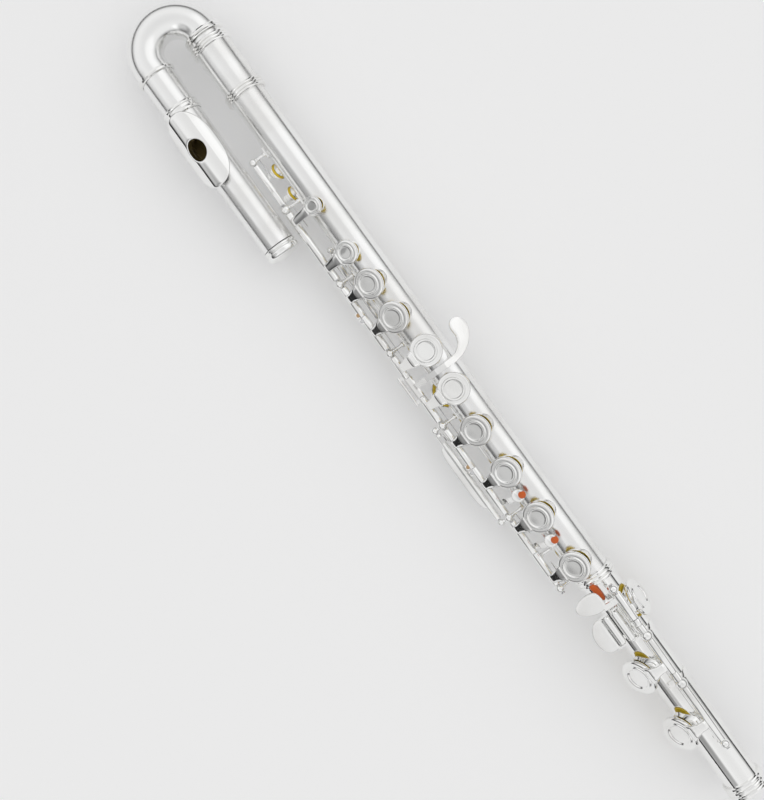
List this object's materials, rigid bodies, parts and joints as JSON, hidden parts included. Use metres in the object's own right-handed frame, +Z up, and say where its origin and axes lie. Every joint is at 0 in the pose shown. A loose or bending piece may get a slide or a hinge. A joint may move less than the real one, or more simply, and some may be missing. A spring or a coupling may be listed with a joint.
{
  "type": "concert flute",
  "caption": "Concert flute with a curved head joint, offset G keys and a C foot, lying flat, with working keys, rollers, head slide, foot joint and crown.",
  "frame": {"origin": "centre of the foot joint's open end, on the main tube's axis", "axes": "+X along the main tube out of the foot end, so the head is towards -X; +Z up, square to the plane of the two tubes; -Y towards the player, where the short leg and the hinge rods are"},
  "size_m": [0.5296, 0.0699, 0.04],
  "materials": {
    "silver_plate": "polished silver plate",
    "steel": "polished steel",
    "pad_skin": "fish-skin over felt",
    "cork": "natural cork"
  },
  "bodies": {
    "body": {"body_tube": "silver_plate", "barrel": "silver_plate", "barrel_rings": "silver_plate", "body_ribs": "silver_plate", "body_posts": "silver_plate", "body_steels": "steel", "body_springs": "steel", "pivot_screws": "steel"},
    "head": {"head_tenon": "silver_plate", "u_bend": "silver_plate", "bend_rings": "silver_plate", "head_tube": "silver_plate", "head_rings": "silver_plate", "riser": "silver_plate", "lip_plate": "silver_plate", "stopper_cork": "cork", "stopper_plates": "steel"},
    "crown_end": {"crown": "silver_plate", "crown_screw": "steel"},
    "key_c": {"c_key": "silver_plate", "c_pads": "pad_skin"},
    "key_bflat": {"bflat_key": "silver_plate", "bflat_pad": "pad_skin"},
    "key_a": {"a_key": "silver_plate", "a_pad": "pad_skin"},
    "key_g": {"g_keys": "silver_plate", "g_pads": "pad_skin"},
    "key_gsharp": {"gsharp_key": "silver_plate", "gsharp_pad": "pad_skin"},
    "key_fsharp": {"fsharp_key": "silver_plate", "fsharp_pad": "pad_skin"},
    "key_f": {"f_key": "silver_plate", "f_pad": "pad_skin"},
    "key_e": {"e_key": "silver_plate", "e_pad": "pad_skin"},
    "key_d": {"d_key": "silver_plate", "d_pad": "pad_skin"},
    "key_trill_d": {"trill_d_key": "silver_plate", "trill_d_pad": "pad_skin"},
    "key_trill_dsharp": {"trill_dsharp_key": "silver_plate", "trill_dsharp_pad": "pad_skin"},
    "lever_bflat": {"side_bflat_lever": "silver_plate"},
    "key_thumb_b": {"thumb_b_key": "silver_plate", "thumb_b_pad": "pad_skin"},
    "lever_thumb_bflat": {"thumb_bflat_key": "silver_plate"},
    "foot": {"foot_tube": "silver_plate", "foot_rings": "silver_plate", "foot_posts": "silver_plate", "foot_steel": "steel", "foot_springs": "steel"},
    "key_foot_dsharp": {"foot_dsharp_key": "silver_plate", "foot_dsharp_pad": "pad_skin"},
    "key_foot_csharp": {"foot_csharp_key": "silver_plate", "foot_csharp_pad": "pad_skin"},
    "key_foot_c": {"foot_c_key": "silver_plate", "foot_c_pad": "pad_skin"},
    "roller_1": {"roller_csharp": "silver_plate"},
    "roller_2": {"roller_c": "silver_plate"}
  },
  "joints": [
    {"name": "head_slide", "type": "slide", "parent": "body", "child": "head", "axis": [-1, 0, 0], "range_m": [-0.0015, 0.012]},
    {"name": "crown_turn", "type": "hinge", "parent": "head", "child": "crown_end", "pos_m": [-0.385, -0.0337, 0], "axis": [1, 0, 0], "range_deg": [-360, 360]},
    {"name": "foot_turn", "type": "hinge", "parent": "body", "child": "foot", "pos_m": [-0.135, 0, 0], "axis": [1, 0, 0], "range_deg": [-12, 12]},
    {"name": "c_key_press", "type": "hinge", "parent": "body", "child": "key_c", "pos_m": [-0.375, -0.01943, 0.0017], "axis": [-1, 0, 0], "range_deg": [0, 8], "stiffness_Nm_per_rad": 0.03, "springref_deg": -17.19},
    {"name": "a_key_press", "type": "hinge", "parent": "body", "child": "key_a", "pos_m": [-0.3176, -0.01943, 0.0017], "axis": [-1, 0, 0], "range_deg": [0, 8], "stiffness_Nm_per_rad": 0.03, "springref_deg": -17.19},
    {"name": "bflat_key_press", "type": "hinge", "parent": "body", "child": "key_bflat", "pos_m": [-0.3395, -0.01943, 0.0017], "axis": [-1, 0, 0], "range_deg": [0, 8], "stiffness_Nm_per_rad": 0.03, "springref_deg": -17.19},
    {"name": "g_keys_press", "type": "hinge", "parent": "body", "child": "key_g", "pos_m": [-0.281, -0.01943, 0.0017], "axis": [-1, 0, 0], "range_deg": [0, 8], "stiffness_Nm_per_rad": 0.03, "springref_deg": -17.19},
    {"name": "gsharp_key_press", "type": "hinge", "parent": "body", "child": "key_gsharp", "pos_m": [-0.281, -0.01943, 0.0017], "axis": [-1, 0, 0], "range_deg": [0, 8], "stiffness_Nm_per_rad": 0.03, "springref_deg": -17.19},
    {"name": "f_key_press", "type": "hinge", "parent": "body", "child": "key_f", "pos_m": [-0.2165, -0.01943, 0.0017], "axis": [-1, 0, 0], "range_deg": [0, 8], "stiffness_Nm_per_rad": 0.03, "springref_deg": -17.19},
    {"name": "fsharp_key_press", "type": "hinge", "parent": "body", "child": "key_fsharp", "pos_m": [-0.2438, -0.01943, 0.0017], "axis": [-1, 0, 0], "range_deg": [0, 8], "stiffness_Nm_per_rad": 0.03, "springref_deg": -17.19},
    {"name": "e_key_press", "type": "hinge", "parent": "body", "child": "key_e", "pos_m": [-0.1873, -0.01943, 0.0017], "axis": [-1, 0, 0], "range_deg": [0, 8], "stiffness_Nm_per_rad": 0.03, "springref_deg": -17.19},
    {"name": "d_key_press", "type": "hinge", "parent": "body", "child": "key_d", "pos_m": [-0.1549, -0.01943, 0.0017], "axis": [-1, 0, 0], "range_deg": [0, 8], "stiffness_Nm_per_rad": 0.03, "springref_deg": -17.19},
    {"name": "trill_d_press", "type": "hinge", "parent": "body", "child": "key_trill_d", "pos_m": [-0.2027, -0.01877, -0.00297], "axis": [-1, 0, 0], "range_deg": [0, 8], "stiffness_Nm_per_rad": 0.03, "springref_deg": -17.19},
    {"name": "trill_dsharp_press", "type": "hinge", "parent": "body", "child": "key_trill_dsharp", "pos_m": [-0.1733, -0.01877, -0.00297], "axis": [-1, 0, 0], "range_deg": [0, 8], "stiffness_Nm_per_rad": 0.03, "springref_deg": -17.19},
    {"name": "side_bflat_press", "type": "hinge", "parent": "body", "child": "lever_bflat", "pos_m": [-0.217, -0.0243, 0], "axis": [1, 0, 0], "range_deg": [0, 8], "stiffness_Nm_per_rad": 0.03, "springref_deg": -17.19},
    {"name": "thumb_b_press", "type": "hinge", "parent": "body", "child": "key_thumb_b", "pos_m": [-0.345, -0.01264, -0.01061], "axis": [1, 0, 0], "range_deg": [0, 8], "stiffness_Nm_per_rad": 0.03, "springref_deg": -17.19},
    {"name": "thumb_bflat_press", "type": "hinge", "parent": "body", "child": "lever_thumb_bflat", "pos_m": [-0.329, -0.01264, -0.01061], "axis": [1, 0, 0], "range_deg": [0, 8], "stiffness_Nm_per_rad": 0.03, "springref_deg": -17.19},
    {"name": "foot_dsharp_press", "type": "hinge", "parent": "foot", "child": "key_foot_dsharp", "pos_m": [-0.1188, 0.00238, 0.01784], "axis": [1, 0, 0], "range_deg": [0, 8], "stiffness_Nm_per_rad": 0.03, "springref_deg": -17.19},
    {"name": "foot_csharp_press", "type": "hinge", "parent": "foot", "child": "key_foot_csharp", "pos_m": [-0.0858, 0.00238, 0.01784], "axis": [1, 0, 0], "range_deg": [0, 8], "stiffness_Nm_per_rad": 0.03, "springref_deg": -17.19},
    {"name": "foot_c_press", "type": "hinge", "parent": "foot", "child": "key_foot_c", "pos_m": [-0.0488, 0.00238, 0.01784], "axis": [1, 0, 0], "range_deg": [0, 8], "stiffness_Nm_per_rad": 0.03, "springref_deg": -17.19},
    {"name": "roller_csharp_spin", "type": "hinge", "parent": "key_foot_csharp", "child": "roller_1", "pos_m": [-0.1164, -0.0099, 0.0164], "axis": [1, 0, 0], "continuous": true},
    {"name": "roller_c_spin", "type": "hinge", "parent": "key_foot_c", "child": "roller_2", "pos_m": [-0.116, -0.0048, 0.0173], "axis": [1, 0, 0], "continuous": true}
  ],
  "couplings": [
    {"joint": "bflat_key_press", "follows": "a_key_press", "ratio": 1},
    {"joint": "fsharp_key_press", "follows": "f_key_press", "ratio": 1}
  ]
}
